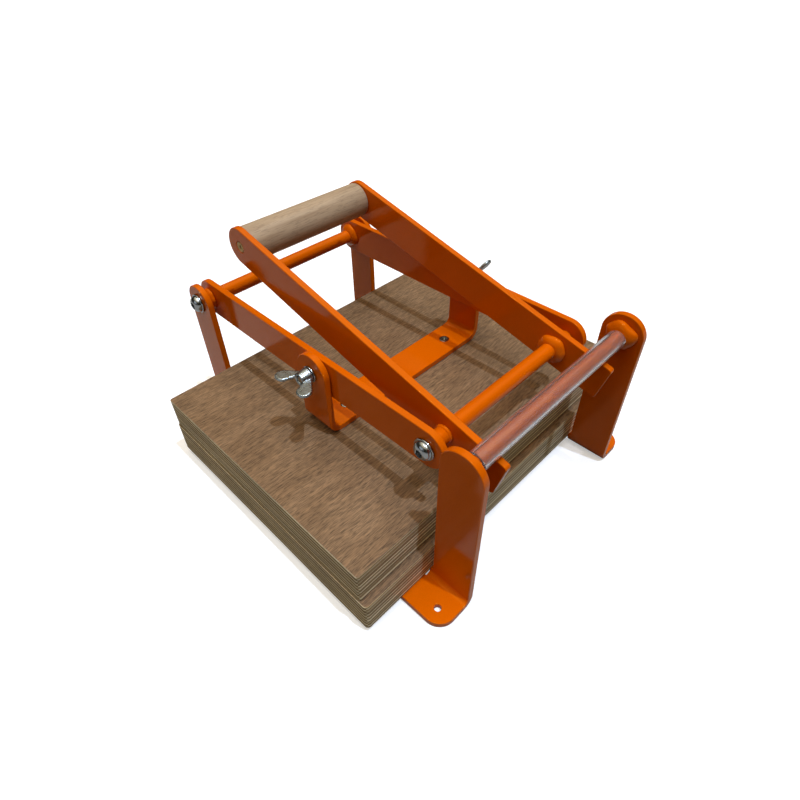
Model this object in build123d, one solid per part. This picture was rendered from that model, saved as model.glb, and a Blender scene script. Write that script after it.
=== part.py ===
from build123d import *
import os
from math import cos, radians, sin

# Bookbinding nipping press: two plywood boards, a lever pair with a beech grip and a crossbar
# that the lever noses push against.
# +X runs along the rods to the right, +Y from the crossbar at the front to the rear shaft,
# +Z up. The origin is the centre of the footprint, on the table. Millimetres throughout.

# ---- driving dimensions ------------------------------------------------------------------
STEEL = 5.0                    # thickness of every bar and plate
BAR = 30.0                     # width of the flat bars
BAR_END = BAR / 2              # radius of a rounded bar end

BASE_BOARD_X = 302.0           # base board, left to right
BASE_BOARD_DEEP = 232.0        # base board, front to rear
PLATEN_X = 301.0               # pressing board, left to right
PLATEN_DEEP = 224.0            # pressing board, front to rear
BOARD_THICK = 28.0             # both boards
BASE_CORNER = 3.0              # vertical corner radius of the base board
PLATEN_CORNER = 2.0            # vertical corner radius of the pressing board
BOARD_GAP = 0.4                # clearance between the closed boards
BASE_BOARD_Y = -4.0            # centre of the base board
PLATEN_Y = -2.0                # centre of the pressing board
BRACKET_Y = 0.0                # centre of the platen bracket and its studs

FOOT_LENGTH = 310.0            # side bracket, front to rear
FOOT_OUTER = 119.0             # outer edge of the foot from the middle
FOOT_CORNER = 13.0
FOOT_HOLE_R = 2.5
FOOT_HOLE_X = 108.0
FOOT_HOLE_Y = 142.5
PLATE_OUTER = 91.5             # outer face of the uprights and of the rear posts
BEND_INNER = 4.0               # inside radius of the bend between foot and upright
UPRIGHT_WIDTH = 32.0
UPRIGHT_ROOT = 2.4             # how much wider the front upright is at its bend

CROSSBAR_Y = -139.0
CROSSBAR_Z = 126.3
CROSSBAR_R = 5.0
SLEEVE_BORE_R = 5.08
SLEEVE_R = 7.0
SLEEVE_LENGTH = 158.0

PIVOT_Y = -103.0               # front pivot of the levers
SHAFT_Y = 140.0                # rear shaft
LINK_Z = 111.5                 # height of the front pivot and rear shaft
SHAFT_R = 6.0
SHAFT_HOLE_R = 6.05
END_GAP = 0.3                  # shaft end to the face that it runs against

ARM_OUTER = 80.5               # outer face of the pressing arms
LEVER_OUTER = 62.7             # outer face of the handle levers
LEVER_ANGLE = 14.0             # slope of the levers at rest
LEVER_REACH = 214.3            # front pivot to the grip centre
LEVER_NOSE = 45.0              # front pivot to the square end under the crossbar
NOSE_CORNER = 2.5
GRIP_R = 14.0
GRIP_ROUND = 1.5

EAR_INNER = 81.0               # inner faces of the platen bracket's ears
EAR_BEND = 6.0                 # inside bend radius of the platen bracket
STUD_Z = 114.0                 # height of the bracket studs, centre of the ear's round top
STRIP_SCREW_X = 58.0

# M8 hardware
M8_R = 4.0
M8_HOLE_R = 4.08               # running fit on an M8 shank
M8_WASHER_R = 8.0
WASHER_THICK = 1.6
WASHER_PLAY = 0.2
BUTTON_R = 7.0
BUTTON_HIGH = 4.4
HEX_SOCKET_R = 2.9
HEX_SOCKET_DEEP = 2.6
M8_SHANK = 24.0

# M6 hardware of the platen bracket
M6_R = 3.0
M6_HOLE_R = 3.08               # running fit on an M6 stud
M6_WASHER_R = 6.4
STUD_PROUD = 1.5               # stud end standing inside the arm
STUD_END_X = 95.5
WING_PLAY = 0.3
WING_BOSS_R = 6.2
WING_BOSS_TOP_R = 5.1
WING_BOSS_HIGH = 8.5
WING_HIGH = 19.0
WING_SPAN = 35.0
WING_PAD_R = 4.8
WING_THICK = 3.0
WING_ANGLE_LEFT = 0.0          # rest turn of each wing nut
WING_ANGLE_RIGHT = 120.0

# countersunk wood screws
WOOD_HEAD_R = 4.2
WOOD_SHANK_R = 2.2
WOOD_LENGTH = 24.0
WOOD_TIP = 4.0
GRIP_SCREW_LENGTH = 38.0
BASE_SCREW_X = 107.0
BASE_SCREW_ROWS = (-98.0, -8.0, 82.0)

BASE_Z = STEEL
PLATEN_Z = BASE_Z + BOARD_THICK + BOARD_GAP
BRACKET_Z = PLATEN_Z + BOARD_THICK
PLATE_INNER = PLATE_OUTER - STEEL
ARM_INNER = ARM_OUTER - STEEL
LEVER_INNER = LEVER_OUTER - STEEL
EAR_OUTER = EAR_INNER + STEEL
LEVER_DY = cos(radians(LEVER_ANGLE))
LEVER_DZ = sin(radians(LEVER_ANGLE))
GRIP_Y = PIVOT_Y + LEVER_REACH * LEVER_DY
GRIP_Z = LINK_Z + LEVER_REACH * LEVER_DZ


# ---- helpers -----------------------------------------------------------------------------
def across(x, y, z):
    """Plane at a point whose normal is +X, with local x along +Y and local y along +Z."""
    return Plane(origin=(x, y, z), x_dir=(0, 1, 0), z_dir=(1, 0, 0))


def rod_x(radius, x_from, x_to, y, z):
    """Round bar along X."""
    return extrude(across(x_from, y, z) * Circle(radius), amount=x_to - x_from)


def turned_x(profile, y, z):
    """Solid of revolution about a line along X from (x, radius) points."""
    outline = make_face(Polyline(*[(x, r, 0) for x, r in profile], close=True))
    return Pos(0, y, z) * revolve(outline, axis=Axis.X)


def mirrored(solid):
    """The left-hand twin of a right-hand solid."""
    return mirror(solid, about=Plane.YZ)


def flare_points(x_face, step, radius, reach, rise):
    """Points of a hollow weld fillet that runs from a face down onto a rod."""
    points = []
    for i in range(6):
        t = i / 5
        points.append((x_face + step * reach * t, radius + rise * (1 - t) ** 2))
    return points


def wood_screw(length):
    """Countersunk screw pointing to -Z, its head flush with Z = 0, with a cross recess."""
    head_high = WOOD_HEAD_R - WOOD_SHANK_R
    shank = length - head_high - WOOD_TIP
    head = Pos(0, 0, -head_high / 2) * Cone(WOOD_SHANK_R, WOOD_HEAD_R, head_high)
    body = Pos(0, 0, -head_high - shank / 2) * Cylinder(WOOD_SHANK_R, shank)
    tip = Pos(0, 0, -length + WOOD_TIP / 2) * Cone(0.5, WOOD_SHANK_R, WOOD_TIP)
    return head + body + tip


def cross_recess():
    """Cutter for the drive recess of a wood screw, at its head."""
    slot = Box(4.0, 0.9, 3.0)
    return slot + Rot(0, 0, 90) * slot


def button_screw():
    """M8 button-head screw along +X from under its head at X = 0, the shank toward -X."""
    dome = BUTTON_HIGH
    profile = [(0, 0), (0, BUTTON_R), (dome * 0.35, BUTTON_R * 0.97), (dome * 0.7, BUTTON_R * 0.78),
               (dome, BUTTON_R * 0.45), (dome, 0)]
    head = turned_x(profile, 0, 0)
    shank = rod_x(M8_R, -M8_SHANK, 0, 0, 0)
    socket = across(dome - HEX_SOCKET_DEEP, 0, 0) * RegularPolygon(HEX_SOCKET_R, 6)
    return head + shank - extrude(socket, amount=HEX_SOCKET_DEEP + 1)


def washer(x_from, y, z, outer=M8_WASHER_R, bore=M8_HOLE_R):
    ring = Circle(outer) - Circle(bore)
    return extrude(across(x_from, y, z) * ring, amount=WASHER_THICK)


# ---- boards ------------------------------------------------------------------------------
def board(wide, deep, centre_y, bottom_z, corner):
    outline = RectangleRounded(wide, deep, corner)
    return extrude(Pos(0, centre_y, bottom_z) * outline, amount=BOARD_THICK)


def base_screws():
    screws = []
    for side in (-1, 1):
        for row in BASE_SCREW_ROWS:
            screws.append(Pos(side * BASE_SCREW_X, row, 0) * Rot(180, 0, 0) * wood_screw(WOOD_LENGTH))
    return screws


def bracket_screws():
    screws = []
    for side in (-1, 1):
        place = Pos(side * STRIP_SCREW_X, BRACKET_Y, BRACKET_Z + STEEL)
        screws.append(place * wood_screw(WOOD_LENGTH))
    return screws


def grip_screws():
    right = Pos(LEVER_OUTER, GRIP_Y, GRIP_Z) * Rot(0, 90, 0) * wood_screw(GRIP_SCREW_LENGTH)
    return [right, mirrored(right)]


# ---- side bracket: foot, front upright and rear post bent from one plate -----------------
def bent_tab(y_from, y_to, y_axis, z_axis, end_radius, root=0.0):
    """Plate bent up from the foot's inner edge, with a round top on the given axis.
    The bend itself runs on to the rear by root."""
    outer_r = BEND_INNER + STEEL
    corner_x = PLATE_OUTER + BEND_INNER
    quarter = Circle(outer_r) - Circle(BEND_INNER)
    quarter = quarter & Pos(-outer_r / 2, -outer_r / 2) * Rectangle(outer_r, outer_r)
    bend_plane = Plane(origin=(corner_x, y_to + root, outer_r), x_dir=(1, 0, 0), z_dir=(0, -1, 0))
    bend = extrude(bend_plane * quarter, amount=y_to + root - y_from)
    lower = Pos((y_from + y_to) / 2, (outer_r + z_axis) / 2) * Rectangle(y_to - y_from, z_axis - outer_r)
    face = lower + Pos(y_axis, z_axis) * Circle(end_radius)
    wall = extrude(across(PLATE_INNER, 0, 0) * face, amount=STEEL)
    return bend + wall


def side_bracket():
    foot_inner = PLATE_OUTER + BEND_INNER
    foot_width = FOOT_OUTER - foot_inner
    foot = Pos((foot_inner + FOOT_OUTER) / 2, 0, STEEL / 2) * Box(foot_width, FOOT_LENGTH, STEEL)
    outer_corners = foot.edges().filter_by(Axis.Z).sort_by(Axis.X)[-2:]
    foot = fillet(outer_corners, FOOT_CORNER)
    front = -FOOT_LENGTH / 2
    rear = FOOT_LENGTH / 2
    upright_rear = front + UPRIGHT_WIDTH
    upright = bent_tab(front, upright_rear, CROSSBAR_Y, CROSSBAR_Z, UPRIGHT_WIDTH / 2, UPRIGHT_ROOT)
    post = bent_tab(rear - BAR, rear, SHAFT_Y, LINK_Z, BAR_END)
    plate = foot + upright + post
    for hole_y in (-FOOT_HOLE_Y, FOOT_HOLE_Y):
        plate = plate - Pos(FOOT_HOLE_X, hole_y, STEEL / 2) * Cylinder(FOOT_HOLE_R, 2 * STEEL)
    plate = plate - rod_x(M8_HOLE_R, PLATE_INNER - 1, PLATE_OUTER + 1, SHAFT_Y, LINK_Z)
    for row in BASE_SCREW_ROWS:
        plate = plate - Pos(BASE_SCREW_X, row, 0) * Rot(180, 0, 0) * wood_screw(WOOD_LENGTH)
    return plate


# ---- rods --------------------------------------------------------------------------------
def crossbar():
    """Rod welded between the front uprights, with a weld fillet at each end."""
    right = flare_points(PLATE_INNER, -1, CROSSBAR_R, 6.0, 6.5)
    left = [(-x, r) for x, r in reversed(right)]
    profile = [(PLATE_INNER, 0)] + right + left + [(-PLATE_INNER, 0)]
    return turned_x(profile, CROSSBAR_Y, CROSSBAR_Z)


def sleeve():
    ring = Circle(SLEEVE_R) - Circle(SLEEVE_BORE_R)
    return extrude(across(-SLEEVE_LENGTH / 2, CROSSBAR_Y, CROSSBAR_Z) * ring, amount=SLEEVE_LENGTH)


def welded_shaft(plate_inner, plate_outer, half_length, inner_rise, inner_reach, y, z):
    """Shaft through two plates, welded on both faces of each, with a tapped hole in each end."""
    outer_weld = flare_points(plate_outer, 1, SHAFT_R, 4.0, 2.5)
    inner_weld = list(reversed(flare_points(plate_inner, -1, SHAFT_R, inner_reach, inner_rise)))
    right = inner_weld + [(plate_inner, SHAFT_R), (plate_outer, SHAFT_R)] + outer_weld
    right = right + [(half_length, SHAFT_R), (half_length, 0)]
    left = [(-x, r) for x, r in reversed(right)]
    shaft = turned_x(right + left, y, z)
    hole_deep = M8_SHANK + 4
    for x_from in (half_length - hole_deep, -half_length):
        shaft = shaft - rod_x(M8_R, x_from, x_from + hole_deep, y, z)
    return shaft


# ---- flat bars ---------------------------------------------------------------------------
def pressing_arm():
    """Right-hand arm from the rear shaft to the front pivot."""
    middle = Pos((PIVOT_Y + SHAFT_Y) / 2, LINK_Z) * Rectangle(SHAFT_Y - PIVOT_Y, BAR)
    outline = middle + Pos(PIVOT_Y, LINK_Z) * Circle(BAR_END) + Pos(SHAFT_Y, LINK_Z) * Circle(BAR_END)
    outline = outline - Pos(PIVOT_Y, LINK_Z) * Circle(M8_HOLE_R)
    outline = outline - Pos(SHAFT_Y, LINK_Z) * Circle(SHAFT_HOLE_R)
    outline = outline - Pos(BRACKET_Y, STUD_Z) * Circle(M6_R)
    return extrude(across(ARM_INNER, 0, 0) * outline, amount=STEEL)


def handle_lever():
    """Right-hand lever: square nose under the crossbar, round end at the grip."""
    length = LEVER_NOSE + LEVER_REACH
    blank = Pos((LEVER_REACH - LEVER_NOSE) / 2, 0) * Rectangle(length, BAR)
    nose_corners = blank.vertices().sort_by(Axis.X)[:2]
    outline = fillet(nose_corners, NOSE_CORNER)
    outline = outline + Pos(LEVER_REACH, 0) * Circle(BAR_END)
    outline = outline - Circle(SHAFT_HOLE_R)
    lever = extrude(across(LEVER_INNER, PIVOT_Y, LINK_Z) * Rot(0, 0, LEVER_ANGLE) * outline, amount=STEEL)
    return lever - grip_screws()[0]


def platen_bracket():
    """Strip across the pressing board, bent up into an ear at each end."""
    corner_x = EAR_INNER - EAR_BEND
    outer_r = EAR_BEND + STEEL
    corner_z = BRACKET_Z + outer_r
    front = BRACKET_Y - BAR_END
    strip = Pos(0, BRACKET_Y, BRACKET_Z + STEEL / 2) * Box(2 * corner_x, BAR, STEEL)
    quarter = Circle(outer_r) - Circle(EAR_BEND)
    quarter = quarter & Pos(outer_r / 2, -outer_r / 2) * Rectangle(outer_r, outer_r)
    bend_plane = Plane(origin=(corner_x, front + BAR, corner_z), x_dir=(1, 0, 0), z_dir=(0, -1, 0))
    bend = extrude(bend_plane * quarter, amount=BAR)
    straight = Pos(BRACKET_Y, (corner_z + STUD_Z) / 2) * Rectangle(BAR, STUD_Z - corner_z)
    face = straight + Pos(BRACKET_Y, STUD_Z) * Circle(BAR_END)
    face = face - Pos(BRACKET_Y, STUD_Z) * Circle(M6_HOLE_R)
    ear = bend + extrude(across(EAR_INNER, 0, 0) * face, amount=STEEL)
    bracket = strip + ear + mirrored(ear)
    for screw in bracket_screws():
        bracket = bracket - screw
    return bracket


# ---- bracket studs and wing nuts ---------------------------------------------------------
def bracket_stud():
    """Right-hand M6 stud, fixed in the arm, that the ear turns on."""
    tip = 0.8
    profile = [(ARM_INNER - STUD_PROUD, 0), (ARM_INNER - STUD_PROUD, M6_R - tip),
               (ARM_INNER - STUD_PROUD + tip, M6_R), (STUD_END_X - tip, M6_R),
               (STUD_END_X, M6_R - tip), (STUD_END_X, 0)]
    return turned_x(profile, BRACKET_Y, STUD_Z)


def wing_nut(turn):
    """Right-hand wing nut on its stud; the wings lean outward from a tapered boss."""
    base_x = EAR_OUTER + WASHER_PLAY + WASHER_THICK + WING_PLAY
    boss = turned_x([(0, 0), (0, WING_BOSS_R), (WING_BOSS_HIGH, WING_BOSS_TOP_R), (WING_BOSS_HIGH, 0)], 0, 0)
    half_span = WING_SPAN / 2
    pad_r = WING_PAD_R
    tip_y = half_span - pad_r
    tip_x = WING_HIGH - pad_r
    lean_y = tip_y - 4.0
    root = WING_BOSS_R * 0.55
    corners = [(0.8, root), (0.8, WING_BOSS_R - 1.2), (tip_x - pad_r * 0.6, tip_y + pad_r * 0.8),
               (tip_x + pad_r * 0.4, lean_y), (WING_BOSS_HIGH - 1, root)]
    blade = make_face(Polyline(*corners, close=True))
    blade = blade + Pos(tip_x, tip_y) * Circle(pad_r)
    wing = extrude(blade, amount=WING_THICK / 2, both=True)
    nut = boss + wing + mirror(wing, about=Plane.XZ)
    nut = nut - rod_x(M6_HOLE_R, -1, WING_HIGH, 0, 0)
    return Pos(base_x, BRACKET_Y, STUD_Z) * Rot(turn, 0, 0) * nut


# ---- hardware groups ---------------------------------------------------------------------
def screw_pair(face_x, y, z):
    """Button-head screw outside a plate on each side."""
    right = Pos(face_x + WASHER_PLAY + WASHER_THICK, y, z) * button_screw()
    return [right, mirrored(right)]


def washer_pair(face_x, y, z):
    right = washer(face_x + WASHER_PLAY, y, z)
    return [right, mirrored(right)]


def wing_washers():
    right = washer(EAR_OUTER + WASHER_PLAY, BRACKET_Y, STUD_Z, M6_WASHER_R, M6_HOLE_R)
    return [right, mirrored(right)]


def grip():
    wood = rod_x(GRIP_R, -LEVER_INNER, LEVER_INNER, GRIP_Y, GRIP_Z)
    rims = wood.edges().filter_by(GeomType.CIRCLE)
    wood = fillet(rims, GRIP_ROUND)
    for screw in grip_screws():
        wood = wood - screw
    return wood


def recessed(screws, places):
    """Cut the drive recess into each screw's head."""
    return [screw - place * cross_recess() for screw, place in zip(screws, places)]


def base_board():
    wood = board(BASE_BOARD_X, BASE_BOARD_DEEP, BASE_BOARD_Y, BASE_Z, BASE_CORNER)
    for screw in base_screws():
        wood = wood - screw
    return wood


def platen_board():
    wood = board(PLATEN_X, PLATEN_DEEP, PLATEN_Y, PLATEN_Z, PLATEN_CORNER)
    for screw in bracket_screws():
        wood = wood - screw
    return wood


def save(name, shapes):
    shapes = shapes if isinstance(shapes, list) else [shapes]
    solids = [solid for shape in shapes for solid in shape.solids()]
    body = solids[0] if len(solids) == 1 else Compound(children=solids)
    export_step(body, f"parts/{name}.step")


os.makedirs("parts", exist_ok=True)

strip_heads = [Pos(side * STRIP_SCREW_X, BRACKET_Y, BRACKET_Z + STEEL) for side in (-1, 1)]
base_heads = [Pos(side * BASE_SCREW_X, row, 0) for side in (-1, 1) for row in BASE_SCREW_ROWS]
grip_heads = [Pos(side * LEVER_OUTER, GRIP_Y, GRIP_Z) * Rot(0, 90, 0) for side in (1, -1)]
bracket = side_bracket()
arm = pressing_arm()
lever = handle_lever()
stud = bracket_stud()

save("base_board", base_board())
save("base_screws", recessed(base_screws(), base_heads))
save("side_bracket_right", bracket)
save("side_bracket_left", mirrored(bracket))
save("crossbar_rod", crossbar())
save("crossbar_sleeve", sleeve())
save("rear_shaft", welded_shaft(ARM_INNER, ARM_OUTER, PLATE_INNER - END_GAP, 4.0, 5.0, SHAFT_Y, LINK_Z))
save("rear_shaft_screws", screw_pair(PLATE_OUTER, SHAFT_Y, LINK_Z))
save("rear_shaft_washers", washer_pair(PLATE_OUTER, SHAFT_Y, LINK_Z))
save("pressing_arm_right", arm)
save("pressing_arm_left", mirrored(arm))
save("pivot_shaft", welded_shaft(LEVER_INNER, LEVER_OUTER, ARM_INNER - END_GAP, 5.0, 7.0, PIVOT_Y, LINK_Z))
save("pivot_screws", screw_pair(ARM_OUTER, PIVOT_Y, LINK_Z))
save("pivot_washers", washer_pair(ARM_OUTER, PIVOT_Y, LINK_Z))
save("handle_lever_right", lever)
save("handle_lever_left", mirrored(lever))
save("handle_grip", grip())
save("grip_screws", recessed(grip_screws(), grip_heads))
save("platen_board", platen_board())
save("platen_bracket", platen_bracket())
save("bracket_screws", recessed(bracket_screws(), strip_heads))
save("bracket_stud_right", stud)
save("bracket_stud_left", mirrored(stud))
save("wing_washers", wing_washers())
save("wing_nut_right", wing_nut(WING_ANGLE_RIGHT))
save("wing_nut_left", mirrored(wing_nut(WING_ANGLE_LEFT)))
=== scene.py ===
from math import atan2, cos, pi, radians, sin, sqrt

import bmesh
import bpy
from mathutils import Matrix, Vector, noise


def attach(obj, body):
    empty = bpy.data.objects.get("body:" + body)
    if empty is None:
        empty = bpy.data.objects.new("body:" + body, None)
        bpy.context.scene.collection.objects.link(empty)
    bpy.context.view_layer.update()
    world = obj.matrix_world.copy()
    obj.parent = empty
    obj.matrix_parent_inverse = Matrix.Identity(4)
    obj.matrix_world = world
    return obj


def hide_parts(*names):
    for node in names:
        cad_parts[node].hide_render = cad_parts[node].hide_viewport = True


# Bookbinding press. Shapes are written in millimetres and scaled to metres as each piece is made.
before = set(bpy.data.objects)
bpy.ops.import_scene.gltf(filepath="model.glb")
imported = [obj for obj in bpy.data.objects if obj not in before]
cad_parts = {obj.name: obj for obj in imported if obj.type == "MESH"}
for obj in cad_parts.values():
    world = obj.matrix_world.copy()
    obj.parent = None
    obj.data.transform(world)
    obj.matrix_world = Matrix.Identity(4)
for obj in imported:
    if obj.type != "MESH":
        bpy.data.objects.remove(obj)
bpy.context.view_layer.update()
scene = bpy.context.scene
scene.view_settings.view_transform = "Standard"
MM = 0.001

STEEL = 5.0                    # thickness of the flat bar
BAR = 30.0                     # its width
ROUND_END = BAR / 2 - 0.1      # corner radius, so that a bar's end is nearly a half circle
RIM = 0.7                      # rounding of the painted edges
BEND_STEPS = 12                # facets of each bend
BASE_SIZE = (302.0, 232.0)
PLATEN_SIZE = (301.0, 224.0)
BOARD_THICK, PLIES = 28.0, 15
BOARD_RIM = 0.6                # rounding of the boards' edges
BASE_BOARD_Y, PLATEN_Y = -4.0, -2.0
BASE_Z, PLATEN_Z, BRACKET_Z = 5.0, 33.4, 61.4
FOOT_LENGTH, FOOT_OUTER = 310.0, 119.0
PLATE_INNER, PLATE_OUTER = 86.5, 91.5
FOOT_BEND = 9.0                # outside radius of the bend under the uprights
CROSSBAR_Y, CROSSBAR_Z, CROSSBAR_R = -139.0, 126.3, 5.0
SLEEVE_BORE_R, SLEEVE_R, SLEEVE_HALF = 5.1, 7.0, 79.0
PIVOT_Y, SHAFT_Y, LINK_Z, SHAFT_R = -103.0, 140.0, 111.5, 6.0
SHAFT_PLAY = 0.3               # between a shaft's end and the plate past it
ARM_INNER, ARM_OUTER = 75.5, 80.5
LEVER_INNER, LEVER_OUTER = 57.7, 62.7
LEVER_ANGLE = radians(14.0)
LEVER_REACH, LEVER_NOSE = 214.3, 45.0
GRIP_R = 14.0
GRIP_Y = PIVOT_Y + LEVER_REACH * cos(LEVER_ANGLE)
GRIP_Z = LINK_Z + LEVER_REACH * sin(LEVER_ANGLE)
EAR_OUTER = 86.0
EAR_BEND = 11.0                # outside radius of the bend under the ears
BRACKET_Y, STUD_Z = 0.0, 114.0   # the studs stand at the centre of each ear's round top
STUD_FROM, STUD_TO = 74.0, 95.5
STRIP_SCREW_X = 58.0
BASE_SCREW_X = 107.0
BASE_SCREW_ROWS = (-98.0, -8.0, 82.0)
BOARD_SCREW_LENGTH, GRIP_SCREW_LENGTH = 24.0, 38.0
HEAD_SUNK, STRIP_HEAD_SUNK = 0.1, 0.2    # countersunk heads, below the face round them
WASHER_M8_R, WASHER_M6_R, WASHER_THICK = 8.0, 6.4, 1.6
WASHER_PLAY, WING_PLAY = 0.2, 0.3        # gaps under a washer and under a wing nut
HOLE_M8, HOLE_M6 = 4.08, 3.08
SCREW_HOLE = 4.35
WING_TURNS = {"right": 120.0, "left": 0.0}    # degrees


# ---- mesh tools --------------------------------------------------------------------------
def arc(cx, cy, r, start, end, steps):
    angles = [start + (end - start) * i / steps for i in range(steps + 1)]
    return [(cx + r * cos(a), cy + r * sin(a)) for a in angles]


def circle(cx, cy, r, steps=40):
    return arc(cx, cy, r, 0, 2 * pi, steps)[:-1]


def rounded(corners):
    """Closed outline from (x, y, radius) corners, each corner turned into an arc."""
    closest = 0.02
    points = []
    count = len(corners)
    for i in range(count):
        x, y, r = corners[i]
        before = Vector(corners[i - 1][:2]) - Vector((x, y))
        after = Vector(corners[(i + 1) % count][:2]) - Vector((x, y))
        if r <= 0:
            points.append((x, y))
            continue
        before.normalize()
        after.normalize()
        half = before.angle(after) / 2
        middle = Vector((x, y)) + (before + after).normalized() * (r / sin(half))
        reach = r * cos(half) / sin(half)
        touch_a = Vector((x, y)) + before * reach
        touch_b = Vector((x, y)) + after * reach
        start = atan2(touch_a.y - middle.y, touch_a.x - middle.x)
        sweep = atan2(touch_b.y - middle.y, touch_b.x - middle.x) - start
        sweep = (sweep + pi) % (2 * pi) - pi
        steps = max(4, int(abs(sweep) * sqrt(r) * 4))
        points += arc(middle.x, middle.y, r, start, start + sweep, steps)
    clean = [points[0]]
    for p in points[1:]:
        if (Vector(p) - Vector(clean[-1])).length > closest:
            clean.append(p)
    if (Vector(clean[0]) - Vector(clean[-1])).length < closest:
        clean.pop()
    return clean


def plate(outline, holes, thick, rim, steps=3):
    """Flat plate from local z 0 to thick, every edge rounded by rim."""
    curve = bpy.data.curves.new("outline", "CURVE")
    curve.dimensions = "2D"
    curve.fill_mode = "BOTH"
    curve.extrude = thick / 2 - rim
    curve.bevel_depth = rim
    curve.bevel_resolution = steps
    curve.offset = -rim
    for loop in [outline] + holes:
        spline = curve.splines.new("POLY")
        spline.points.add(len(loop) - 1)
        for point, (x, y) in zip(spline.points, loop):
            point.co = (x, y, 0, 1)
        spline.use_cyclic_u = True
    holder = bpy.data.objects.new("outline", curve)
    mesh = bpy.data.meshes.new_from_object(holder)
    bm = bmesh.new()
    bm.from_mesh(mesh)
    bpy.data.objects.remove(holder)
    bpy.data.curves.remove(curve)
    bpy.data.meshes.remove(mesh)
    bmesh.ops.remove_doubles(bm, verts=bm.verts, dist=0.004)
    bmesh.ops.translate(bm, vec=(0, 0, thick / 2), verts=bm.verts)
    return bm


def cut(bm, places):
    """Loops across the mesh at these local x places, for bending."""
    for x in places:
        bmesh.ops.bisect_plane(bm, geom=bm.verts[:] + bm.edges[:] + bm.faces[:], dist=1e-5,
                               plane_co=(x, 0, 0), plane_no=(1, 0, 0))
    return bm


def lathe(profile, segments=64, shape=None, closed=False):
    """Solid turned about local X from (x, radius) points; shape(x, r, angle) can move a point."""
    bm = bmesh.new()
    rings = []
    for x, r in profile:
        if r <= 0:
            rings.append([bm.verts.new((x, 0, 0))])
            continue
        ring = []
        for i in range(segments):
            angle = 2 * pi * i / segments
            px, pr = shape(x, r, angle) if shape else (x, r)
            ring.append(bm.verts.new((px, pr * cos(angle), pr * sin(angle))))
        rings.append(ring)
    pairs = list(zip(rings, rings[1:]))
    if closed:
        pairs.append((rings[-1], rings[0]))
    for a, b in pairs:
        for i in range(segments):
            j = (i + 1) % segments
            loop = []
            for v in (a[i % len(a)], a[j % len(a)], b[j % len(b)], b[i % len(b)]):
                if v not in loop:
                    loop.append(v)
            if len(loop) > 2:
                bm.faces.new(loop)
    return bm


def placed(bm, matrix):
    bmesh.ops.transform(bm, matrix=matrix, verts=bm.verts)
    return bm


def across(x, y=0.0, z=0.0):
    """Local x, y, z onto +Y, +Z, +X, at a point."""
    return Matrix(((0, 0, 1, x), (1, 0, 0, y), (0, 1, 0, z), (0, 0, 0, 1)))


def shift(x, y, z):
    return Matrix.Translation((x, y, z))


def mirrored(bm):
    bmesh.ops.scale(bm, vec=(-1, 1, 1), verts=bm.verts)
    bmesh.ops.reverse_faces(bm, faces=bm.faces[:])
    return bm


def joined(parts):
    out = bmesh.new()
    for part in parts:
        mesh = bpy.data.meshes.new("part")
        part.to_mesh(mesh)
        part.free()
        out.from_mesh(mesh)
        bpy.data.meshes.remove(mesh)
    return out


def piece(name, bm, body, slot, cad_node, flat=False, crease=40):
    """A finished object in its slot's materials, riding on a body in place of its CAD node."""
    bmesh.ops.recalc_face_normals(bm, faces=bm.faces[:])
    bmesh.ops.scale(bm, vec=(MM, MM, MM), verts=bm.verts)
    mesh = bpy.data.meshes.new(name)
    bm.to_mesh(mesh)
    bm.free()
    mesh.polygons.foreach_set("use_smooth", [True] * len(mesh.polygons))
    mesh.set_sharp_from_angle(angle=radians(crease))
    for mat in LOOKS[slot]:
        mesh.materials.append(mat)
    obj = bpy.data.objects.new(name, mesh)
    scene.collection.objects.link(obj)
    if flat:
        weighted = obj.modifiers.new("weighted", "WEIGHTED_NORMAL")
        weighted.weight = 100
        weighted.keep_sharp = True
    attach(obj, body)
    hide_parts(cad_node)


def both_sides(name, build, body, slot, kind, flat=False):
    """The right-hand piece and its mirror image on the left, each in place of its own CAD node."""
    piece(name + "_right_" + kind, build(), body, slot, name + "_right", flat)
    piece(name + "_left_" + kind, mirrored(build()), body, slot, name + "_left", flat)


# ---- material tools ----------------------------------------------------------------------
def new_material(name):
    mat = bpy.data.materials.new(name)
    mat.use_nodes = True
    return mat, mat.node_tree, mat.node_tree.nodes["Principled BSDF"]


def node(tree, kind, inputs=None, **settings):
    n = tree.nodes.new(kind)
    for key, value in settings.items():
        setattr(n, key, value)
    for key, value in (inputs or {}).items():
        if isinstance(value, bpy.types.NodeSocket):
            tree.links.new(value, n.inputs[key])
        else:
            n.inputs[key].default_value = value
    return n


def coords(tree, scale, offset=(0, 0, 0), vector=None):
    """Object coordinates in metres, scaled."""
    source = vector or node(tree, "ShaderNodeTexCoord").outputs["Object"]
    return node(tree, "ShaderNodeMapping", {"Vector": source, "Scale": scale, "Location": offset}).outputs[0]


def grain(tree, scale, detail=3.0, rough=0.6, distortion=0.0, offset=(0, 0, 0), vector=None):
    """Noise stretched by a scale for each axis, per metre."""
    settings = {"Vector": coords(tree, scale, offset, vector), "Scale": 1.0, "Detail": detail,
                "Roughness": rough, "Distortion": distortion}
    return node(tree, "ShaderNodeTexNoise", settings).outputs["Fac"]


def ramp(tree, value, stops):
    n = node(tree, "ShaderNodeValToRGB", {"Fac": value})
    elements = n.color_ramp.elements
    while len(elements) < len(stops):
        elements.new(0.5)
    for element, (place, colour) in zip(elements, stops):
        element.position = place
        element.color = (*colour, 1.0) if isinstance(colour, tuple) else (colour, colour, colour, 1.0)
    return n.outputs["Color"]


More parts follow.
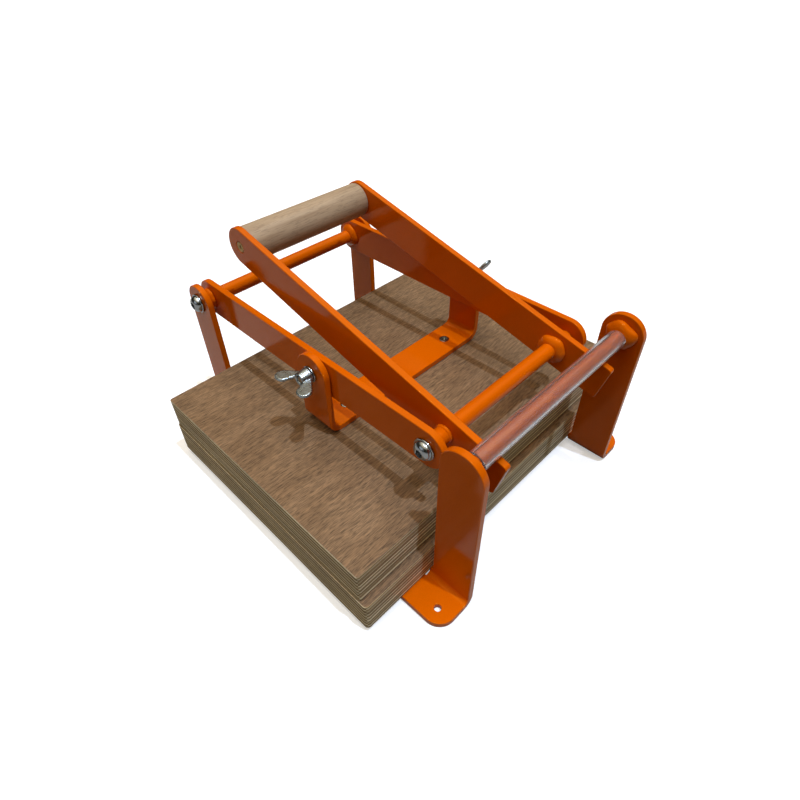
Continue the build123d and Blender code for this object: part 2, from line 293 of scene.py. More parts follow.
def mix(tree, factor, a, b, kind="MIX"):
    a = (*a, 1.0) if isinstance(a, tuple) else a
    b = (*b, 1.0) if isinstance(b, tuple) else b
    inputs = {"Fac": factor, "Color1": a, "Color2": b}
    return node(tree, "ShaderNodeMixRGB", inputs, blend_type=kind).outputs[0]


def maths(tree, kind, a, b=0.0):
    return node(tree, "ShaderNodeMath", {0: a, 1: b}, operation=kind).outputs[0]


def bump(tree, height, distance, strength):
    inputs = {"Height": height, "Distance": distance, "Strength": strength}
    return node(tree, "ShaderNodeBump", inputs).outputs["Normal"]


def finish_shader(tree, shader, colour=None, rough=None, normal=None):
    for socket, value in (("Base Color", colour), ("Roughness", rough), ("Normal", normal)):
        if value is not None:
            tree.links.new(value, shader.inputs[socket])


def orange_paint():
    """Glossy powder coat with a faint orange-peel surface."""
    mat, tree, shader = new_material("orange_powder_coat")
    broad = grain(tree, (22, 22, 22), 2)
    fine = grain(tree, (1500, 1500, 1500), 1)
    colour = mix(tree, broad, (0.60, 0.098, 0.0), (0.68, 0.122, 0.0))
    speck = ramp(tree, fine, [(0.30, 0.93), (0.60, 1.0)])
    colour = mix(tree, 1.0, colour, speck, "MULTIPLY")
    rough = ramp(tree, grain(tree, (60, 60, 60), 3), [(0.3, 0.07), (0.7, 0.12)])
    peel = grain(tree, (520, 520, 520), 2)
    normal = bump(tree, peel, 0.00006, 0.5)
    finish_shader(tree, shader, colour, rough, normal)
    shader.inputs["IOR"].default_value = 1.5
    shader.inputs["Specular Tint"].default_value = (1.0, 0.42, 0.06, 1.0)
    return mat


def veneer(name, offset):
    """Mid-brown face veneer, its grain along X, with short dark pores."""
    mat, tree, shader = new_material(name)
    source = node(tree, "ShaderNodeTexCoord").outputs["Object"]
    slow = {"Vector": coords(tree, (5, 12, 5), offset, source), "Scale": 1.0, "Detail": 2.0}
    drift = node(tree, "ShaderNodeTexNoise", slow).outputs["Color"]
    sideways = {0: drift, 1: (0.0, 0.02, 0.0)}
    wander = node(tree, "ShaderNodeVectorMath", sideways, operation="MULTIPLY").outputs[0]
    path = node(tree, "ShaderNodeVectorMath", {0: source, 1: wander}, operation="ADD").outputs[0]
    ribbon = grain(tree, (14, 34, 14), 3, 0.55, 0.6, offset, path)
    streak = grain(tree, (45, 1000, 45), 4, 0.62, 0.3, offset, path)
    pores = grain(tree, (190, 2300, 190), 1, 0.5, 0.2, offset, path)
    light = ramp(tree, ribbon, [(0.30, (0.172, 0.096, 0.044)), (0.52, (0.210, 0.121, 0.058)),
                                (0.72, (0.245, 0.146, 0.074))])
    dark = ramp(tree, streak, [(0.34, 0.76), (0.50, 1.00), (0.62, 1.20)])
    fleck = ramp(tree, pores, [(0.36, 0.48), (0.47, 0.84), (0.56, 1.10)])
    colour = mix(tree, 1.0, light, dark, "MULTIPLY")
    colour = mix(tree, 1.0, colour, fleck, "MULTIPLY")
    rough = ramp(tree, streak, [(0.3, 0.62), (0.7, 0.48)])
    height = mix(tree, 0.5, streak, pores)
    finish_shader(tree, shader, colour, rough, bump(tree, height, 0.00025, 0.6))
    shader.inputs["Specular IOR Level"].default_value = 0.35
    return mat


def ply_edge(name, bottom, offset):
    """Sawn edge of the board: alternating plies with dark glue lines, swapped on the two pairs of sides."""
    mat, tree, shader = new_material(name)
    ply = BOARD_THICK / PLIES * MM
    source = node(tree, "ShaderNodeTexCoord")
    where = node(tree, "ShaderNodeSeparateXYZ", {0: source.outputs["Object"]})
    facing = node(tree, "ShaderNodeSeparateXYZ", {0: source.outputs["Normal"]})
    wobble = maths(tree, "MULTIPLY", grain(tree, (30, 30, 30), 2, offset=offset), 0.35)
    level = maths(tree, "MULTIPLY", maths(tree, "SUBTRACT", where.outputs["Z"], bottom * MM), 1 / ply)
    uneven = maths(tree, "MULTIPLY", grain(tree, (0.5, 0.5, 230), 1, offset=offset), 1.6)
    level = maths(tree, "ADD", maths(tree, "ADD", level, wobble), uneven)
    layer = maths(tree, "FLOOR", level)
    within = maths(tree, "FRACT", level)
    odd = maths(tree, "MODULO", layer, 2.0)
    side = maths(tree, "GREATER_THAN", maths(tree, "ABSOLUTE", facing.outputs["X"]), 0.7)
    swap = maths(tree, "ABSOLUTE", maths(tree, "SUBTRACT", odd, side))
    own = node(tree, "ShaderNodeTexWhiteNoise", {"W": layer}, noise_dimensions="1D").outputs["Value"]
    pale = mix(tree, own, (0.52, 0.40, 0.23), (0.94, 0.80, 0.54))
    deep = mix(tree, own, (0.22, 0.145, 0.064), (0.40, 0.285, 0.140))
    colour = mix(tree, swap, pale, deep)
    glue = ramp(tree, within, [(0.0, 0.34), (0.16, 0.80), (0.26, 1.0), (0.88, 1.0), (1.0, 0.50)])
    colour = mix(tree, 1.0, colour, glue, "MULTIPLY")
    fibres = grain(tree, (240, 240, 1500), 4, 0.7, offset=offset)
    blotch = grain(tree, (22, 22, 90), 3, 0.6, offset=offset)
    colour = mix(tree, 1.0, colour, ramp(tree, fibres, [(0.3, 0.84), (0.5, 1.0), (0.7, 1.12)]), "MULTIPLY")
    colour = mix(tree, 1.0, colour, ramp(tree, blotch, [(0.3, 0.80), (0.7, 1.20)]), "MULTIPLY")
    height = mix(tree, 0.5, glue, fibres)
    finish_shader(tree, shader, colour, ramp(tree, fibres, [(0.3, 0.75), (0.7, 0.6)]),
                  bump(tree, height, 0.0002, 0.7))
    shader.inputs["Specular IOR Level"].default_value = 0.3
    return mat


def beech_wood():
    """Pale turned beech: fine grain along X and short darker rays."""
    mat, tree, shader = new_material("beech_wood")
    streak = grain(tree, (14, 260, 260), 4, 0.6, 0.5)
    rays = grain(tree, (150, 1500, 1500), 2, 0.5)
    broad = grain(tree, (9, 50, 50), 2)
    colour = ramp(tree, streak, [(0.30, (0.34, 0.226, 0.132)), (0.50, (0.44, 0.312, 0.195)),
                                 (0.70, (0.51, 0.375, 0.243))])
    colour = mix(tree, 1.0, colour, ramp(tree, rays, [(0.33, 0.74), (0.45, 1.0)]), "MULTIPLY")
    colour = mix(tree, 1.0, colour, ramp(tree, broad, [(0.3, 0.86), (0.7, 1.08)]), "MULTIPLY")
    finish_shader(tree, shader, colour, ramp(tree, streak, [(0.3, 0.58), (0.7, 0.46)]),
                  bump(tree, mix(tree, 0.5, streak, rays), 0.0002, 0.5))
    shader.inputs["Specular IOR Level"].default_value = 0.35
    return mat


def plated(name, colour_a, colour_b, rough_a, rough_b, grit_scale, grit_depth):
    """Plated or cast metal: mottled tone, uneven gloss and a fine grit."""
    mat, tree, shader = new_material(name)
    cloud = grain(tree, (320, 320, 320), 4, 0.65)
    grit = grain(tree, (grit_scale,) * 3, 3, 0.6)
    colour = mix(tree, cloud, colour_a, colour_b)
    rough = ramp(tree, cloud, [(0.3, rough_a), (0.7, rough_b)])
    finish_shader(tree, shader, colour, rough, bump(tree, grit, grit_depth, 0.6))
    shader.inputs["Metallic"].default_value = 1.0
    return mat


def clear_tube():
    """Soft clear PVC: slightly blue, a little cloudy, glossy."""
    mat, tree, shader = new_material("clear_pvc_tube")
    haze = grain(tree, (14, 60, 60), 2, 0.5)
    colour = mix(tree, haze, (0.84, 0.88, 1.0), (0.94, 0.95, 1.0))
    rough = ramp(tree, haze, [(0.3, 0.03), (0.7, 0.07)])
    finish_shader(tree, shader, colour, rough, bump(tree, grain(tree, (10, 50, 50), 1), 0.0002, 0.25))
    shader.inputs["Transmission Weight"].default_value = 0.955
    shader.inputs["IOR"].default_value = 1.42
    return mat


# The materials of each slot. A board has its face veneer first and its sawn edge second.
LOOKS = {
    "painted_orange": [orange_paint()],
    "plywood_base": [veneer("plywood_face_base", (0.7, 0.31, 0.0)),
                     ply_edge("plywood_edge_base", BASE_Z, (0.3, 0.1, 0.2))],
    "plywood_platen": [veneer("plywood_face_platen", (0.13, 0.92, 0.0)),
                       ply_edge("plywood_edge_platen", PLATEN_Z, (0.9, 0.5, 0.7))],
    "beech": [beech_wood()],
    "zinc": [plated("zinc_plate", (0.26, 0.29, 0.31), (0.46, 0.50, 0.54), 0.12, 0.26, 1800, 0.00004)],
    "zinc_cast": [plated("zinc_casting", (0.24, 0.28, 0.31), (0.44, 0.50, 0.55), 0.20, 0.38, 1000, 0.0004)],
    "yellow_zinc": [plated("yellow_zinc_plate", (0.26, 0.155, 0.045), (0.44, 0.29, 0.10), 0.20, 0.36,
                           1800, 0.00004)],
    "clear_pvc": [clear_tube()],
}


# ---- shapes ------------------------------------------------------------------------------
def board(size, centre_y, bottom, corner):
    half_x, half_y = size[0] / 2, size[1] / 2
    outline = rounded([(-half_x, -half_y, corner), (half_x, -half_y, corner),
                       (half_x, half_y, corner), (-half_x, half_y, corner)])
    bm = placed(plate(outline, [], BOARD_THICK, BOARD_RIM, 2), shift(0, centre_y, bottom))
    bm.normal_update()
    for face in bm.faces:
        face.material_index = 0 if abs(face.normal.z) > 0.8 else 1
    return bm


def side_bracket():
    """Blank cut flat, then bent: foot, front upright and rear post."""
    foot_corner, foot_hole_x, foot_hole_y, foot_hole_r = 13.0, 11.0, 142.5, 2.5
    upright, root = 32.0, 34.4                  # widths of the front upright and of the bend under it
    upright_round = upright / 2 - 0.1
    flat_width = FOOT_OUTER - PLATE_OUTER - FOOT_BEND + STEEL
    bend = (FOOT_BEND - STEEL / 2) * pi / 2
    up = flat_width + bend - FOOT_BEND          # blank place of height z is up + z
    front, rear = -FOOT_LENGTH / 2, FOOT_LENGTH / 2
    top_front, top_rear = up + CROSSBAR_Z + upright / 2, up + LINK_Z + BAR / 2
    outline = rounded([(0, front, foot_corner), (0, rear, foot_corner), (top_rear, rear, ROUND_END),
                       (top_rear, rear - BAR, ROUND_END), (flat_width, rear - BAR, 1.2),
                       (flat_width, front + root, 0.0), (flat_width + bend, front + root, 1.0),
                       (flat_width + bend + 2.0, front + upright, 1.0),
                       (top_front, front + upright, upright_round), (top_front, front, upright_round)])
    holes = [circle(foot_hole_x, end * foot_hole_y, foot_hole_r, 24) for end in (-1, 1)]
    holes.append(circle(up + LINK_Z, SHAFT_Y, HOLE_M8))
    holes += [circle(FOOT_OUTER - BASE_SCREW_X, row, SCREW_HOLE) for row in BASE_SCREW_ROWS]
    bm = plate(outline, holes, STEEL, RIM)
    cut(bm, [flat_width + bend * i / BEND_STEPS for i in range(BEND_STEPS + 1)])
    corner_x = PLATE_OUTER + FOOT_BEND - STEEL
    for v in bm.verts:
        s, y, t = v.co
        angle = min(max((s - flat_width) / bend, 0.0), 1.0) * pi / 2
        radius = FOOT_BEND - t
        along = min(s, flat_width)
        rest = max(s - flat_width - bend, 0.0)
        v.co = (corner_x - radius * sin(angle) + (flat_width - along),
                y, FOOT_BEND - radius * cos(angle) + rest)
    return bm


def platen_bracket():
    """Strip cut flat, then bent up into the two ears."""
    corner_x = EAR_OUTER - EAR_BEND
    bend = (EAR_BEND - STEEL / 2) * pi / 2
    corner_z = BRACKET_Z + EAR_BEND
    up = corner_x + bend - corner_z
    half = BAR / 2
    end = up + STUD_Z + half
    outline = rounded([(-end, -half, ROUND_END), (end, -half, ROUND_END),
                       (end, half, ROUND_END), (-end, half, ROUND_END)])
    holes = []
    for side in (-1, 1):
        holes.append(circle(side * STRIP_SCREW_X, 0, SCREW_HOLE))
        holes.append(circle(side * (up + STUD_Z), 0, HOLE_M6))
    bm = plate(outline, holes, STEEL, RIM)
    cut(bm, [side * (corner_x + bend * i / BEND_STEPS) for side in (-1, 1) for i in range(BEND_STEPS + 1)])
    for v in bm.verts:
        s, y, t = v.co
        side = -1 if s < 0 else 1
        angle = min(max((abs(s) - corner_x) / bend, 0.0), 1.0) * pi / 2
        radius = EAR_BEND - t
        rest = max(abs(s) - corner_x - bend, 0.0)
        v.co = (side * (min(abs(s), corner_x) + radius * sin(angle)), y + BRACKET_Y,
                corner_z - radius * cos(angle) + rest)
    return bm


def pressing_arm():
    y_front, y_rear = PIVOT_Y - BAR / 2, SHAFT_Y + BAR / 2
    low, high = LINK_Z - BAR / 2, LINK_Z + BAR / 2
    outline = rounded([(y_front, low, ROUND_END), (y_rear, low, ROUND_END),
                       (y_rear, high, ROUND_END), (y_front, high, ROUND_END)])
    holes = [circle(PIVOT_Y, LINK_Z, HOLE_M8), circle(BRACKET_Y, STUD_Z, HOLE_M6)]
    return placed(plate(outline, holes, STEEL, RIM), across(ARM_INNER))


def handle_lever():
    half, nose_corner = BAR / 2, 2.5
    far = LEVER_REACH + half
    outline = rounded([(-LEVER_NOSE, -half, nose_corner), (far, -half, ROUND_END),
                       (far, half, ROUND_END), (-LEVER_NOSE, half, nose_corner)])
    holes = [circle(LEVER_REACH, 0, SCREW_HOLE)]
    slope = across(LEVER_INNER, PIVOT_Y, LINK_Z) @ Matrix.Rotation(LEVER_ANGLE, 4, "Z")
    return placed(plate(outline, holes, STEEL, RIM), slope)


def lumps(radius, amount, seed):
    """Uneven weld: what stands above the rod's radius swells and dips round it."""
    around, along, fine, fine_share = 1.1, 0.09, 2.1, 0.35

    def shape(x, r, angle):
        ring = Vector((around * cos(angle), around * sin(angle), seed + along * x))
        swell = noise.noise(ring) + fine_share * noise.noise(ring * fine)
        return x, r + (r - radius) * amount * swell
    return shape


def weld(face, step, radius, reach, rise):
    """Points of a bead that stands against a face and runs down onto the rod."""
    steps, lip_share, lip_start = 24, 0.20, 0.78
    points = []
    for i in range(steps + 1):
        t = i / steps
        lip = sqrt(max(0.0, 1 - max(0.0, 1 - t / lip_share) ** 2))
        fall = (1 - t ** 2.2) ** 0.7
        points.append((face + step * reach * t, radius + rise * (lip_start + (1 - lip_start) * lip) * fall))
    return points if step > 0 else points[::-1]


def welded_rod(radius, half, welds, amount, seed):
    """Rod along X with beads on both halves; welds are (face, step, reach, rise), middle outward."""
    chamfer, edge = 0.6, 0.01
    right = []
    for face, step, reach, rise in welds:
        bead = weld(face, step, radius, reach, rise)
        foot = [(face - step * edge, radius)]
        right += foot + bead if step > 0 else bead + foot
    if right[-1][0] < half - chamfer:
        right += [(half - chamfer, radius), (half, radius - chamfer)]
    right.append((half, 0))
    left = [(-x, r) for x, r in reversed(right)]
    return lathe(left + [(0, radius)] + right, 72, lumps(radius, amount, seed))


def tube(inner, outer, half):
    soft, steps = 0.35, 24
    long = half - soft
    outer_run = [(-long + 2 * long * i / steps, outer) for i in range(steps + 1)]
    inner_run = [(x, inner) for x, _ in reversed(outer_run)]
    right_end = [(half, outer - soft), (half, inner + soft)]
    left_end = [(-x, r) for x, r in reversed(right_end)]
    return lathe(outer_run + right_end + inner_run + left_end, 72, closed=True)


def washer(inner=HOLE_M8, outer=WASHER_M8_R, thick=WASHER_THICK):
    soft = 0.28
    profile = [(0, inner + soft), (soft, inner), (thick - soft, inner), (thick, inner + soft),
               (thick, outer - soft * 2), (thick - soft * 0.5, outer - soft * 0.6),
               (thick - soft * 1.5, outer), (soft * 1.5, outer), (soft * 0.5, outer - soft * 0.6),
               (0, outer - soft * 2)]
    return lathe(profile, 72, closed=True)


def button_screw():
    """Domed head from X = 0 outward with a hexagon socket, its shank toward -X."""
    high, wide, mouth, shank, length = 4.4, 7.0, 3.1, 4.0, 24.0
    apothem, socket_r, steps = 2.5, 2.6, 12
    crown = radians(66)                         # arc of the dome, from its rim to the socket's mouth
    dome = []
    for i in range(1, steps + 1):
        t = crown * i / steps
        spread = (cos(t) - cos(crown)) / (1 - cos(crown))
        dome.append((high * sin(t) / sin(crown), mouth + (wide - mouth) * spread))
    body = [(-length, 0), (-length, shank - 0.6), (-length + 0.6, shank), (-0.01, shank), (0.0, wide - 0.3),
            (0.25, wide)]
    socket = [(high, 2.95), (high - 0.35, socket_r), (high - 2.5, 2.55), (high - 2.7, 2.3), (high - 3.1, 0)]

    def shape(x, r, angle):
        if r < mouth - 0.12 and x > 1.0:
            hexagon = apothem / cos((angle + pi / 6) % (pi / 3) - pi / 6)
            return x, hexagon * r / socket_r
        return x, r
    return lathe(body + dome + socket, 72, shape)


def wood_screw(length):
    """Countersunk screw pointing to -X, its head flush at X = 0, with a cross recess."""
    reach, half_slot, recess_r, recess_deep = 2.3, 0.42, 2.4, 1.95
    core, crest, pitch = 1.6, 2.15, 1.6
    profile = [(-1.9, 0.0), (-1.7, 0.9), (-0.25, 2.2), (-0.06, 2.29), (0.0, 2.45), (0.0, 3.7), (-0.12, 4.05),
               (-0.45, 4.15), (-2.3, 2.3), (-3.0, 2.1)]
    at = -3.4
    while at > -length + 3.0:
        profile += [(at, core), (at - 0.45, crest), (at - 0.6, crest), (at - 0.9, core)]
        at -= pitch
    profile += [(-length + 1.6, 1.3), (-length, 0.0)]

    def shape(x, r, angle):
        if r < recess_r and x > -recess_deep:
            near = (angle + pi / 4) % (pi / 2) - pi / 4
            arm = half_slot / max(abs(sin(near)), 0.02)
            return x, min(arm, reach) * r / reach
        return x, r
    return lathe(profile, 96, shape)


def threaded_stud(x_from, x_to):
    """M6 stud with its helical thread and chamfered ends."""
    pitch, crest, root, per_turn = 1.0, 3.0, 2.45, 8
    tip, chamfer_from, chamfer = 1.8, 2.2, 0.8
    count = int((x_to - x_from) / pitch * per_turn)
    profile = [(x_from, 0.0), (x_from, tip)]
    profile += [(x_from + (x_to - x_from) * i / count, crest) for i in range(count + 1)]
    profile += [(x_to, tip), (x_to, 0.0)]

    def shape(x, r, angle):
        if r < crest:
            return x, r
        phase = (x / pitch - angle / (2 * pi)) % 1.0
        height = min(1.0, max(0.0, (0.5 - abs(phase - 0.5)) * 2.6 - 0.15))
        end = min(x - x_from, x_to - x, chamfer)
        return x, min(root + (crest - root) * height, chamfer_from + end)
    return lathe(profile, 48, shape)


def wing_casting():
    """Cast wing nut: tapered bored boss and two leaning paddles, blended into each other."""
    bore, foot, top, high = 3.12, 6.1, 5.05, 8.4
    wing_thick, wing_rim, voxel = 2.7, 1.1, 0.30
    boss = lathe([(0.0, bore + 0.5), (0.6, bore), (high - 0.9, bore), (high, bore + 0.9), (high, top - 0.7),
                  (high - 0.5, top), (1.0, foot - 0.1), (0.5, foot), (0.0, foot - 0.4)], 72, closed=True)
    parts = [boss]
    for side in (-1, 1):
        outline = rounded([(1.2, 4.0, 0.3), (1.1, 6.0, 1.5), (10.2, 17.3, 4.8), (18.8, 17.2, 4.6),
                           (18.0, 8.0, 4.6), (7.8, 4.2, 1.5)])
        wing = placed(plate(outline, [], wing_thick, wing_rim), shift(0, 0, -wing_thick / 2))
        if side < 0:
            placed(wing, Matrix.Scale(-1, 4, (0, 1, 0)))
            bmesh.ops.reverse_faces(wing, faces=wing.faces[:])
        parts.append(wing)
    rough = joined(parts)
    mesh = bpy.data.meshes.new("casting")
    rough.to_mesh(mesh)
    rough.free()
    holder = bpy.data.objects.new("casting", mesh)
    scene.collection.objects.link(holder)
    remesh = holder.modifiers.new("remesh", "REMESH")
    remesh.mode = "VOXEL"
    remesh.voxel_size = voxel
    smooth = holder.modifiers.new("smooth", "SMOOTH")
    smooth.factor = 0.5
    smooth.iterations = 5
    graph = bpy.context.evaluated_depsgraph_get()
    result = bpy.data.meshes.new_from_object(holder.evaluated_get(graph))
    bm = bmesh.new()
    bm.from_mesh(result)
    bpy.data.objects.remove(holder)
    bpy.data.meshes.remove(mesh)
    bpy.data.meshes.remove(result)
    return bm


def grip_wood():
    """Turned grip between the levers."""
    half, soft, bore_deep = LEVER_INNER, 1.5, 12.0
    ends = arc(half - soft, GRIP_R - soft, soft, pi / 2, 0, 6)
    bore = [(half, 3.0), (half - bore_deep, 2.2), (half - bore_deep, 0.0)]
    right = [(half * i / 20, GRIP_R) for i in range(1, 19)] + ends + bore
    left = [(-x, r) for x, r in reversed(right)]
    return lathe(left + [(0, GRIP_R)] + right, 96)


def pair(build, matrix):
    """The right-hand piece and its mirror image, joined."""
    return joined([placed(build(), matrix), mirrored(placed(build(), matrix))])


# ---- base --------------------------------------------------------------------------------
FACE_DOWN = Matrix.Rotation(radians(90), 4, "Y")      # local +X, where a screw's head looks, onto -Z
FACE_UP = Matrix.Rotation(radians(-90), 4, "Y")       # and onto +Z

piece("base_board_wood", board(BASE_SIZE, BASE_BOARD_Y, BASE_Z, corner=3.0), "base", "plywood_base",
      "base_board", flat=True)
screws = [placed(wood_screw(BOARD_SCREW_LENGTH), shift(side * BASE_SCREW_X, row, HEAD_SUNK) @ FACE_DOWN)
          for side in (-1, 1) for row in BASE_SCREW_ROWS]
piece("base_screws_zinc", joined(screws), "base", "zinc", "base_screws")
both_sides("side_bracket", side_bracket, "base", "painted_orange", "steel", flat=True)
crossbar = welded_rod(CROSSBAR_R, PLATE_INNER, [(PLATE_INNER, -1, 6.4, 6.6)], amount=0.384, seed=3.1)
piece("crossbar_rod_steel", placed(crossbar, shift(0, CROSSBAR_Y, CROSSBAR_Z)), "base", "painted_orange",
      "crossbar_rod")
sleeve = tube(SLEEVE_BORE_R, SLEEVE_R, SLEEVE_HALF)
piece("crossbar_sleeve_pvc", placed(sleeve, shift(0, CROSSBAR_Y, CROSSBAR_Z)), "sleeve", "clear_pvc",
      "crossbar_sleeve")


# ---- arms --------------------------------------------------------------------------------
def bracket_stud():
    return placed(threaded_stud(STUD_FROM, STUD_TO), shift(0, BRACKET_Y, STUD_Z))


def small_washer():
    return washer(HOLE_M6, WASHER_M6_R)


both_sides("pressing_arm", pressing_arm, "arms", "painted_orange", "steel", flat=True)
shaft = welded_rod(SHAFT_R, PLATE_INNER - SHAFT_PLAY,
                   [(ARM_INNER, -1, 5.0, 4.2), (ARM_OUTER, 1, 4.0, 2.4)], amount=0.448, seed=7.7)
piece("rear_shaft_steel", placed(shaft, shift(0, SHAFT_Y, LINK_Z)), "arms", "painted_orange", "rear_shaft")
washer_x = PLATE_OUTER + WASHER_PLAY
piece("rear_shaft_screws_zinc", pair(button_screw, shift(washer_x + WASHER_THICK, SHAFT_Y, LINK_Z)), "arms",
      "zinc", "rear_shaft_screws")
piece("rear_shaft_washers_zinc", pair(washer, shift(washer_x, SHAFT_Y, LINK_Z)), "arms", "zinc",
      "rear_shaft_washers")
both_sides("bracket_stud", bracket_stud, "arms", "zinc", "zinc")
piece("wing_washers_zinc", pair(small_washer, shift(EAR_OUTER + WASHER_PLAY, BRACKET_Y, STUD_Z)), "arms",
      "zinc", "wing_washers")


# ---- handle ------------------------------------------------------------------------------
def grip_screw():
    return placed(wood_screw(GRIP_SCREW_LENGTH), Matrix.Rotation(radians(25), 4, "X"))


both_sides("handle_lever", handle_lever, "handle", "painted_orange", "steel", flat=True)
shaft = welded_rod(SHAFT_R, ARM_INNER - SHAFT_PLAY,
                   [(LEVER_INNER, -1, 6.0, 5.2), (LEVER_OUTER, 1, 2.2, 1.0)], amount=0.352, seed=12.4)
piece("pivot_shaft_steel", placed(shaft, shift(0, PIVOT_Y, LINK_Z)), "handle", "painted_orange",
      "pivot_shaft")
washer_x = ARM_OUTER + WASHER_PLAY
piece("pivot_screws_zinc", pair(button_screw, shift(washer_x + WASHER_THICK, PIVOT_Y, LINK_Z)), "handle",
      "zinc", "pivot_screws")
piece("pivot_washers_zinc", pair(washer, shift(washer_x, PIVOT_Y, LINK_Z)), "handle", "zinc", "pivot_washers")
piece("handle_grip_beech", placed(grip_wood(), shift(0, GRIP_Y, GRIP_Z)), "handle", "beech", "handle_grip")
piece("grip_screws_yellow", pair(grip_screw, shift(LEVER_OUTER - HEAD_SUNK, GRIP_Y, GRIP_Z)), "handle",
      "yellow_zinc", "grip_screws")

# ---- platen ------------------------------------------------------------------------------
piece("platen_board_wood", board(PLATEN_SIZE, PLATEN_Y, PLATEN_Z, corner=2.0), "platen",
      "plywood_platen", "platen_board", flat=True)
piece("platen_bracket_steel", platen_bracket(), "platen", "painted_orange", "platen_bracket", flat=True)
screws = []
for side, degrees in ((-1, 5), (1, 35)):
    top = shift(side * STRIP_SCREW_X, BRACKET_Y, BRACKET_Z + STEEL - STRIP_HEAD_SUNK)
    spin = Matrix.Rotation(radians(degrees), 4, "X")
    screws.append(placed(wood_screw(BOARD_SCREW_LENGTH), top @ FACE_UP @ spin))
piece("bracket_screws_zinc", joined(screws), "platen", "zinc", "bracket_screws")

# ---- wing nuts ---------------------------------------------------------------------------
nut_x = EAR_OUTER + WASHER_PLAY + WASHER_THICK + WING_PLAY
for side, degrees in WING_TURNS.items():
    nut = placed(wing_casting(), shift(nut_x, BRACKET_Y, STUD_Z) @ Matrix.Rotation(radians(degrees), 4, "X"))
    if side == "left":
        nut = mirrored(nut)
    piece("wing_nut_" + side + "_zinc", nut, "wing_nut_" + side, "zinc_cast", "wing_nut_" + side, crease=60)


# ---- stage, light and camera -------------------------------------------------------------
def pale_floor():
    """White disc to the camera, grey in reflections, and dark where it would bounce light."""
    steps, ring_count, reach, below = 40, 6, 6000.0, 0.0002
    bm = bmesh.new()
    rings = []
    for k in range(1, ring_count + 1):
        rings.append([bm.verts.new((x, y, 0)) for x, y in circle(0, 0, reach * k / ring_count, steps)])
    centre = bm.verts.new((0, 0, 0))
    for i in range(steps):
        j = (i + 1) % steps
        bm.faces.new((centre, rings[0][i], rings[0][j]))
        for a, b in zip(rings, rings[1:]):
            bm.faces.new((a[i], b[i], b[j], a[j]))
    bmesh.ops.scale(bm, vec=(MM, MM, MM), verts=bm.verts)
    mesh = bpy.data.meshes.new("floor")
    bm.to_mesh(mesh)
    bm.free()
    obj = bpy.data.objects.new("floor", mesh)
    obj.location.z = -below
    scene.collection.objects.link(obj)
    mat, tree, shader = new_material("pale_floor")
    path = node(tree, "ShaderNodeLightPath").outputs
    colour = mix(tree, path["Is Glossy Ray"], (0.08, 0.07, 0.06), (0.40, 0.38, 0.35))
    colour = mix(tree, path["Is Camera Ray"], colour, (0.70, 0.70, 0.70))
    finish_shader(tree, shader, colour)
    shader.inputs["Roughness"].default_value = 0.9
    shader.inputs["Specular IOR Level"].default_value = 0.0
    shader.inputs["Emission Color"].default_value = (1.0, 1.0, 1.0, 1.0)
    tree.links.new(maths(tree, "MULTIPLY", path["Is Camera Ray"], 0.42), shader.inputs["Emission Strength"])
    mesh.materials.append(mat)


def aimed(name, lamp, power, colour, direction):
    """A lamp object that shines from a direction."""
    lamp.energy = power
    lamp.color = colour
    obj = bpy.data.objects.new(name, lamp)
    obj.rotation_euler = Vector(direction).to_track_quat("Z", "Y").to_euler()
    scene.collection.objects.link(obj)
    return obj


def sun(name, direction, power, degrees_wide, colour):
    lamp = bpy.data.lights.new(name, "SUN")
    lamp.angle = radians(degrees_wide)
    aimed(name, lamp, power, colour, direction)


def panel(name, place, target, size, power, colour):
    lamp = bpy.data.lights.new(name, "AREA")
    lamp.shape = "RECTANGLE"
    lamp.size, lamp.size_y = size
    aimed(name, lamp, power, colour, Vector(place) - Vector(target)).location = place


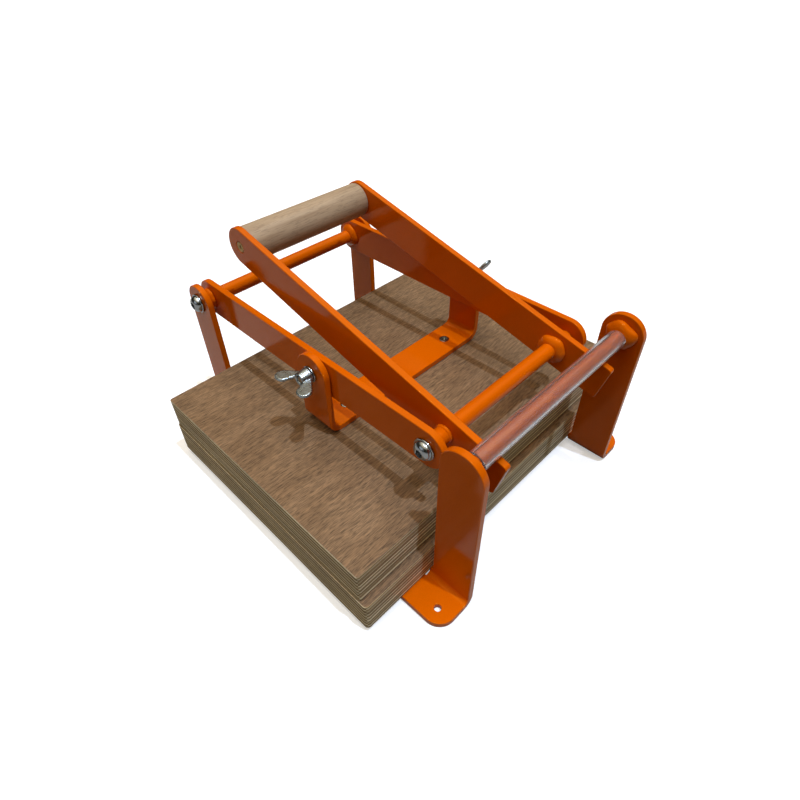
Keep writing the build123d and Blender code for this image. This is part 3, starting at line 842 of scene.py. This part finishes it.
def surroundings():
    """A dim room: bright ceiling overhead, dark toward the horizon, white where the camera sees it."""
    world = bpy.data.worlds.new("room")
    scene.world = world
    world.use_nodes = True
    tree = world.node_tree
    height = node(tree, "ShaderNodeSeparateXYZ", {0: node(tree, "ShaderNodeTexCoord").outputs["Generated"]})
    tone = ramp(tree, height.outputs["Z"], [(0.0, (0.010, 0.009, 0.006)), (0.60, (0.022, 0.019, 0.013)),
                                            (0.86, (0.62, 0.54, 0.40)), (1.0, (1.0, 0.86, 0.64))])
    tone = mix(tree, 1.0, tone, (2.20, 2.14, 1.96), "MULTIPLY")
    seen = node(tree, "ShaderNodeLightPath").outputs["Is Camera Ray"]
    tree.links.new(mix(tree, seen, tone, (1.0, 1.0, 1.0)), tree.nodes["Background"].inputs["Color"])


def calibrated_camera(eye, azimuth, elevation, roll, lens, shift_y):
    """Camera at a point in metres; azimuth turns its right-hand side from +X, roll leans it."""
    right = Vector((cos(azimuth), sin(azimuth), 0))
    back = Vector((sin(azimuth) * cos(elevation), -cos(azimuth) * cos(elevation), sin(elevation)))
    high = back.cross(right)
    right, high = right * cos(roll) + high * sin(roll), high * cos(roll) - right * sin(roll)
    camera = bpy.data.objects.new("camera", bpy.data.cameras.new("camera"))
    camera.data.sensor_width = 36.0
    camera.data.lens = lens
    camera.data.shift_y = shift_y
    camera.data.clip_start = 0.01
    pose = Matrix((right, high, back)).transposed().to_4x4()
    pose.translation = eye
    camera.matrix_world = pose
    scene.collection.objects.link(camera)
    scene.camera = camera


pale_floor()
surroundings()
sun("key", direction=(0.07, -0.29, 1.0), power=2.15, degrees_wide=1.3, colour=(0.60, 0.75, 1.0))
sun("second", direction=(-0.10, 0.05, 1.0), power=0.50, degrees_wide=1.8, colour=(0.72, 0.80, 1.0))
panel("window", place=(-1.6, 0.2, 0.7), target=(0, 0, 0.08), size=(1.0, 0.7), power=1.6,
      colour=(0.86, 0.92, 1.0))
calibrated_camera(eye=(-0.24986, -0.25166, 0.36269), azimuth=radians(-44.964), elevation=radians(42.055),
                  roll=radians(-0.814), lens=24.891, shift_y=-0.0129)
